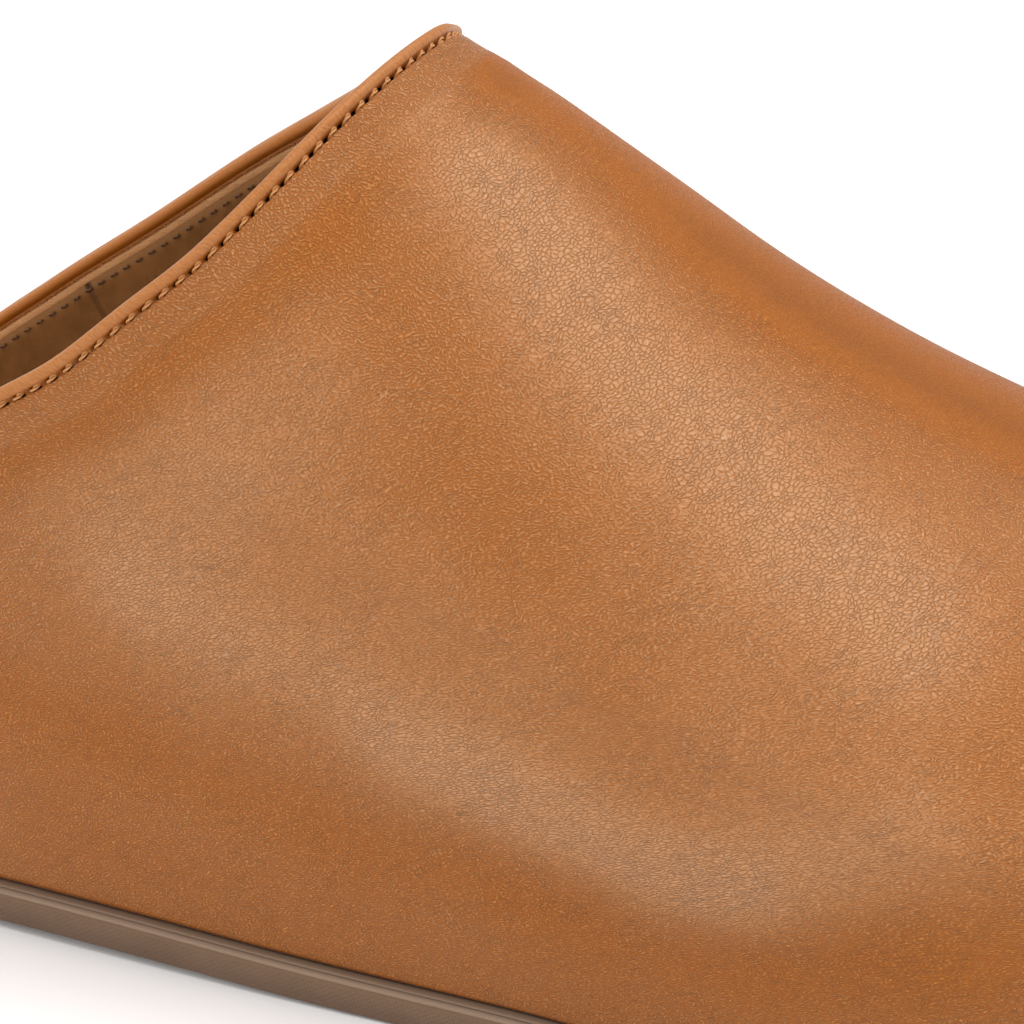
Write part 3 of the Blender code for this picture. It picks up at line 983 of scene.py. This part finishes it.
def skin(side, start, columns, length):
    """Points beside the topline, one line of them for each column of distances and offsets."""
    holes = hole_shape(length, length[-1])
    points = []
    places = []
    for away, offset, hole in columns:
        u = from_topline(start, GIRTHS, side, away) if away > 0 else start
        raised = (offset + hole * holes)[:, None]
        points.append(last(u, GIRTHS, side) + outward(u, GIRTHS, side) * raised)
        # Painted shade: near-black in the needle holes and darker on the roll's inner face; the
        # facing gets a pale band of its own tan with painted light.
        shade = -hole * HOLE_SHADE * holes
        if offset < -ROLL_SINK:
            inwards = ROLL_SHADE * ease(away, 0.0, ROLL_WIDE)
            shade = shade + (FACING_SHADE if away > 2 * ROLL_WIDE else inwards)
        places.append(np.stack([length[-1] - length, np.full_like(length, away), shade], -1))
    return np.stack(points, 1), np.stack(places, 1), u


def roll_columns(face):
    """The rolled topline in section, from its tip."""
    yield 0.0, -ROLL_SINK, 0.0
    for angle in ROLL_ANGLES:
        turn = math.radians(angle)
        yield ROLL_WIDE * (1 + math.cos(turn)), ROLL_THICK * math.sin(turn) * face - ROLL_SINK, 0.0


def row_length(side, girth, away):
    """How far each girth runs from beside the topline to the toe's middle line."""
    start = from_topline(topline(girth, side), girth, side, away)[:, None]
    u = start + (math.pi - start) * np.linspace(0, 1, UPPER_STATIONS + 1)
    return running_length(last(u, girth[:, None], side), 1)[:, -1]


def field(side, u_from, girth, offset, stations, run, away, folded):
    """A grid of points from a line beside the topline on to the toe's middle line."""
    share = np.linspace(0, 1, stations + 1)[None, :]
    u = u_from[:, None] + (math.pi - u_from[:, None]) * share
    both = (row_length(-1, girth, away) + row_length(1, girth, away)) / 2
    girth = girth[:, None]
    points = last(u, girth, side)
    distance = running_length(points, 1)
    stretch = both[:, None] / distance[:, -1:] - 1
    distance = away + distance * (1 + stretch * ease(share, *TOE_BLEND))
    down = running_length(points[::-1])[::-1]
    blend = ease(distance, away, away + PLACE_BLEND)
    down = run[:, None] + (down - run[:, None]) * blend
    form, shade = folds(side, points[..., 0], down, distance)
    # Painted shade along the leather's last row, where it meets the outsole.
    shade[0] += FOOT_SHADE if folded else 0.0
    raised = offset + (form * ease(distance, away, away + FOLD_START) if folded else 0.0)
    points = points + outward(u, girth, side) * np.broadcast_to(raised, distance.shape)[..., None]
    return points, np.stack([down, distance, shade], -1)


def make_upper_leather(material):
    """The leather of the upper: outer face, roll, inner facing and hidden back in one solid."""
    shell = Shell()
    for side in (-1, 1):
        start = topline(GIRTHS, side)
        length = running_length(last(start, GIRTHS, side))
        run = (length[-1] - length)[::GIRTH_FINE]
        rims = []
        for face, rows, offset, stations, folded in (
            (1, SEAM_OUTSIDE, 0.0, UPPER_STATIONS, True),
            (-1, SEAM_INSIDE, BACK_OFFSET, BACK_STATIONS, False),
        ):
            columns = [*roll_columns(face), *zip(*rows.values())]
            points, places, u = skin(side, start, columns, length)
            fine = shell.grid(points, places)
            u = u[::GIRTH_FINE] + NEXT_STEP
            away = rows["away"][-1] + NEXT_AWAY
            coarse = shell.grid(*field(side, u, COARSE, offset, stations, run, away, folded))
            shell.lace([row[-1] for row in fine], [row[0] for row in coarse])
            rims.append([*fine[0], *coarse[0]])
        shell.lace(*rims)
    return shell.finish("upper_leather", material)


def make_upper_lining(material):
    """The lining: a thin closed shell on the inside, from the facing down to the sole."""
    shell = Shell()
    girth = GIRTHS[::LINING_GIRTH_STEP]
    for side in (-1, 1):
        start = topline(girth, side)
        length = running_length(last(start, girth, side))
        run = length[-1] - length
        u = from_topline(start, girth, side, LINING_FROM)
        faces = []
        for offset, stations in ((-WALL, LINING_STATIONS), (LINING_THICK - WALL, BACK_STATIONS)):
            rows = field(side, u, girth, offset, stations, run, LINING_FROM, False)
            faces.append(shell.grid(*rows))
        shell.lace(*([row[0] for row in face] for face in faces))
        shell.lace(*(face[0] for face in faces))
    return shell.finish("upper_lining", material)


def stitch_points(side, away, offset):
    """Each stitch's middle, its way along the seam and its way out of the leather."""
    u = from_topline(topline(GIRTHS, side), GIRTHS, side, away)
    out = outward(u, GIRTHS, side)
    path = last(u, GIRTHS, side) + out * offset
    length = running_length(path)
    count = stitch_count(length[-1])
    middles = (np.arange(1, count) + 0.5) * length[-1] / count
    even = []
    for values in (path, np.gradient(path, axis=0), out):
        even.append(np.stack([np.interp(middles, length, column) for column in values.T], -1))
    return even[0], unit(even[1]), unit(even[2])


def twisted_ply(graph, line, share, bow, thread_wide, phase):
    """One ply of a stitch: a tube that winds round its line and dives at both ends."""
    off = graph.times(graph.opposite(graph.times(bow, STITCH_THINS)), thread_wide * PLY_OFF)
    dive = graph.times(bow, -thread_wide * STITCH_DIVES)
    turn = graph.times_plus(share, STITCH_TURNS * 2 * math.pi, phase)
    across = graph.times(graph.maths("COSINE", turn), off)
    up = graph.times_plus(graph.maths("SINE", turn), off, dive)
    wires = {0: line, "Offset": graph.joined(0.0, across, up)}
    path = graph.out("GeometryNodeSetPosition", wires)
    wires = {"Resolution": PLY_SIDES, "Radius": thread_wide * PLY_HALF}
    ring = graph.out("GeometryNodeCurvePrimitiveCircle", wires)
    return graph.out("GeometryNodeCurveToMesh", {0: path, 1: ring, "Fill Caps": True})


def stitch_tree(name, length, thread_wide, slant, material):
    """Geometry Nodes that lay a stitch of two twisted plies on each point."""
    tree = bpy.data.node_groups.new(name, "GeometryNodeTree")
    tree.is_modifier = True
    for label, way in (("Points", "INPUT"), ("Stitches", "OUTPUT")):
        tree.interface.new_socket(label, in_out=way, socket_type="NodeSocketGeometry")
    graph = Graph(tree)
    wires = {"Start": (-length / 2, 0, 0), "End": (length / 2, 0, 0)}
    line = graph.out("GeometryNodeCurvePrimitiveLine", wires)
    line = graph.out("GeometryNodeResampleCurve", {0: line, "Count": STITCH_POINTS})
    share = graph.out("GeometryNodeSplineParameter")
    off_centre = graph.maths("ABSOLUTE", graph.times_plus(share, 2.0, -1.0))
    bow = graph.maths("POWER", off_centre, STITCH_BOW)
    plies = graph.add("GeometryNodeJoinGeometry")
    for phase in (0.0, math.pi):
        ply = twisted_ply(graph, line, share, bow, thread_wide, phase)
        tree.links.new(ply, plies.inputs[0])
    kind = "GeometryNodeInputNamedAttribute"
    ways = [graph.out(kind, {0: label}, data_type="FLOAT_VECTOR") for label in ("along", "out")]
    aim = graph.add("FunctionNodeAxesToRotation", primary_axis="X", secondary_axis="Z")
    wires = {0: graph.feed(aim, dict(enumerate(ways))).outputs[0], 1: (0, 0, slant)}
    lean = graph.out("FunctionNodeRotateRotation", wires, rotation_space="LOCAL")
    laid = graph.out("GeometryNodeMeshToPoints", {0: graph.out("NodeGroupInput")})
    wires = {0: laid, "Instance": plies.outputs[0], "Rotation": lean}
    laid = graph.out("GeometryNodeInstanceOnPoints", wires)
    laid = graph.out("GeometryNodeRealizeInstances", {0: laid})
    laid = graph.out("GeometryNodeSetShadeSmooth", {0: laid})
    laid = graph.out("GeometryNodeSetMaterial", {0: laid, "Material": material})
    graph.add("NodeGroupOutput", {0: laid})
    return tree


def make_stitches(name, away, offset, length, thread_wide, slant, material):
    """One row of stitches round the topline, made real from the nodes."""
    sides = [stitch_points(side, away, offset) for side in (-1, 1)]
    middles, ways_along, ways_out = (np.concatenate(both) for both in zip(*sides))
    mesh = bpy.data.meshes.new(name)
    mesh.from_pydata((middles - (0, CENTRE, 0)) * MM, [], [])
    for label, values in (("along", ways_along), ("out", ways_out)):
        layer = mesh.attributes.new(label, "FLOAT_VECTOR", "POINT")
        layer.data.foreach_set("vector", values.ravel())
    guide = put(name + "_guide", mesh)
    nodes = guide.modifiers.new("stitches", "NODES")
    sizes = (length * MM, thread_wide * MM, slant)
    nodes.node_group = stitch_tree(name + "_nodes", *sizes, material)
    made = real_mesh(guide)
    made.name = name
    bpy.data.objects.remove(guide)
    return put(name, made)


def caps(lateral, medial, rows):
    """A sole's top and bottom: points straight across the foot between its sides."""
    for row, steps, height in rows:
        share = np.linspace(0, 1, steps + 1)[:, None, None]
        plan = lateral[row][:, :2] + (medial[row] - lateral[row])[:, :2] * share
        yield row, np.concatenate([plan, height(plan, share)], -1)


def sole_side(side):
    """The outsole's side as a grid that runs down its profile."""
    x, y = edge(SOLE_U, side)
    run = running_length(np.stack([x, y], -1))
    grid = []
    places = []
    for inset, height in zip(SOLE_SIDE["inset"], SOLE_SIDE["height"]):
        x, y = inside_edge(SOLE_U, side, inset)
        grid.append(np.stack([x, y, height + lift(x)], -1))
        places.append(np.stack([run, np.full_like(run, height), np.zeros_like(run)], -1))
    return np.stack(grid), np.stack(places)


def underside(plan, share):
    """Height of the outsole's underside, hollowed between the heel and the ball."""
    x = plan[..., :1]
    inwards = 1 - np.abs(2 * share - 1) ** ARCH_POWER
    return ARCH_HOLLOW * waist(x) * inwards + lift(x)


def deck(plan, _):
    """Height of the outsole's flat top face."""
    return SOLE_EDGE + lift(plan[..., :1])


def make_outsole(material):
    """The outsole: stepped and ribbed side, hollowed waist, toe spring and a grooved tread."""
    shell = Shell()
    lateral, places = sole_side(-1)
    shell.grid(lateral, places)
    medial, places = sole_side(1)
    shell.grid(medial, places)
    rows = (0, DECK_STEPS, deck), (-1, TREAD_STEPS, underside)
    for row, points in caps(lateral, medial, rows):
        shell.grid(points, points * (1, 0, 0) + (0, SOLE_SIDE["height"][row], 0))
    sole = shell.finish("outsole_rubber", material)
    cutters = [tread_cutter(*ends) for ends in GROOVE_FIELDS]
    for cutter in cutters:
        cut = sole.modifiers.new("tread", "BOOLEAN")
        cut.operation = "DIFFERENCE"
        cut.solver = "EXACT"
        cut.object = cutter
    grooved = real_mesh(sole)
    sole.modifiers.clear()
    sole.data = grooved
    for cutter in cutters:
        bpy.data.objects.remove(cutter)
    return sole


def tread_cutter(start, end):
    """A row of bars across the foot that cut the tread's grooves."""
    mesh = bmesh.new()
    for x in np.arange(start, end, GROOVE_PITCH):
        u = math.acos(-x / HALF)
        low = float(edge(u, -1)[1]) + GROOVE_MARGIN
        high = float(edge(u, 1)[1]) - GROOVE_MARGIN
        bar = bmesh.ops.create_cube(mesh, size=1.0)["verts"]
        top = GROOVE_DEEP + float(lift(x))
        bmesh.ops.scale(mesh, verts=bar, vec=(GROOVE_WIDE * MM, (high - low) * MM, 2 * top * MM))
        bmesh.ops.translate(mesh, verts=bar, vec=(x * MM, ((low + high) / 2 - CENTRE) * MM, 0))
    data = bpy.data.meshes.new("tread_cutter")
    mesh.to_mesh(data)
    mesh.free()
    return put("tread_cutter", data)


def seat(plan, share):
    """Height of the insole's underside, a gap over the deck."""
    return deck(plan, share) + GAP


def footbed(plan, share):
    """Height of the insole's top: dished across, with a pad under the arch of the foot."""
    x = plan[..., :1]
    rim = np.abs(2 * share - 1) ** DISH_POWER
    pad = ARCH_PAD * np.exp(-(((x - ARCH_PAD_X) / ARCH_PAD_LONG) ** 2))
    thick = along(FOOTBED, "thick", x) - along(FOOTBED, "dish", x) * (1 - rim)
    return seat(plan, share) + (thick + pad * ease(share, ARCH_PAD_FROM, 1.0))


def sock_places(points):
    """Places over the insole: its plan, led on down its side, far from the seam's own places."""
    return points + points[..., 2:] * SIDE_SLIDE + (0, INSOLE_PLACE, 0)


def insole_side(side):
    """The insole's side up to its rounded rim, within the upper's wall and wider behind it."""
    widen = ease(-HALF * np.cos(SOLE_U), *INSOLE_WIDENS[side])
    inset = INSOLE_HEEL_INSET + (INSOLE_INSET - INSOLE_HEEL_INSET) * widen
    share = 0.0 if side < 0 else 1.0
    plan = np.stack(inside_edge(SOLE_U, side, inset), -1)
    grid = [np.concatenate([plan, seat(plan, share)], -1)]
    for angle in range(0, 91, INSOLE_ROUND_STEP):
        turn = math.radians(angle)
        inwards = INSOLE_ROUND * (1 - math.cos(turn))
        plan = np.stack(inside_edge(SOLE_U, side, inset + inwards), -1)
        high = footbed(plan, share) - INSOLE_ROUND * (1 - math.sin(turn))
        grid.append(np.concatenate([plan, high], -1))
    return np.stack(grid)


def make_insole(material):
    """The insole: a contoured footbed with rounded top edge, lying on the outsole."""
    shell = Shell()
    lateral = insole_side(-1)
    medial = insole_side(1)
    rows = (0, SEAT_STEPS, seat), (-1, FOOTBED_STEPS, footbed)
    for points in (lateral, medial, *(points for _, points in caps(lateral, medial, rows))):
        shell.grid(points, sock_places(points))
    return shell.finish("insole_cover", material)


def make_floor():
    """A plain floor under the slipper."""
    bpy.ops.mesh.primitive_plane_add(size=FLOOR_WIDE)
    floor = bpy.context.object
    floor.name = "floor"
    floor.data.materials.append(floor_paint("pale_floor"))
    return floor


def place_camera():
    """The camera looks down on the lateral side of the instep."""
    right = Vector((math.cos(AZIMUTH), math.sin(AZIMUTH), 0))
    flat_back = Vector((math.sin(AZIMUTH), -math.cos(AZIMUTH), 0))
    back = flat_back * math.cos(ELEVATION) + Vector((0, 0, math.sin(ELEVATION)))
    up = back.cross(right)
    aim = right * AIM_RIGHT + up * AIM_UP - Vector((0, CENTRE, 0))
    data = bpy.data.cameras.new("camera")
    data.sensor_width = SENSOR
    data.lens = SENSOR * DISTANCE / FRAME_WIDE
    data.clip_start = CLIP_START
    data.dof.use_dof = False
    camera = put("camera", data)
    camera.location = (aim + back * DISTANCE) * MM
    camera.rotation_euler = back.to_track_quat("Z", "Y").to_euler()
    bpy.context.scene.camera = camera


def light_studio():
    """Soft lights overhead and beside the camera, in a pale room."""
    scene = bpy.context.scene
    world = bpy.data.worlds.new("studio")
    world.use_nodes = True
    bright = world.node_tree.nodes["Background"].inputs
    bright["Color"].default_value = (1.0, 1.0, 1.0, 1.0)
    bright["Strength"].default_value = ROOM_LIGHT
    scene.world = world
    scene.view_settings.view_transform = "Standard"
    for name, (power, spread, come_from) in STUDIO_LIGHTS.items():
        data = bpy.data.lights.new(name, "SUN")
        data.energy = power
        data.angle = math.radians(spread)
        turn = Vector(come_from).to_track_quat("Z", "Y")
        put(name, data).rotation_euler = turn.to_euler()


def main():
    tan, sock = (leather(name, *tones) for name, tones in LEATHERS.items())
    sewn, hidden = (thread(name, *tones) for name, tones in THREADS.items())
    upper = make_upper_leather(tan)
    lining = make_upper_lining(suede_lining("lining_leather"))
    outer_row = make_stitches("topline_stitches", *TOPLINE_STITCHES, sewn)
    inner_row = make_stitches("facing_stitches", *FACING_STITCHES, hidden)
    outsole = make_outsole(rubber("taupe_rubber"))
    insole = make_insole(sock)
    for piece, slot in (
        (upper, "upper_leather"),
        (lining, "insole_leather"),
        (outer_row, "upper_leather"),
        (inner_row, "upper_leather"),
        (outsole, "outsole_rubber"),
        (insole, "insole_leather"),
    ):
        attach(piece, "root")
    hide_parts("upper")
    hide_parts("outsole")
    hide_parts("insole")
    make_floor()
    light_studio()
    place_camera()


main()
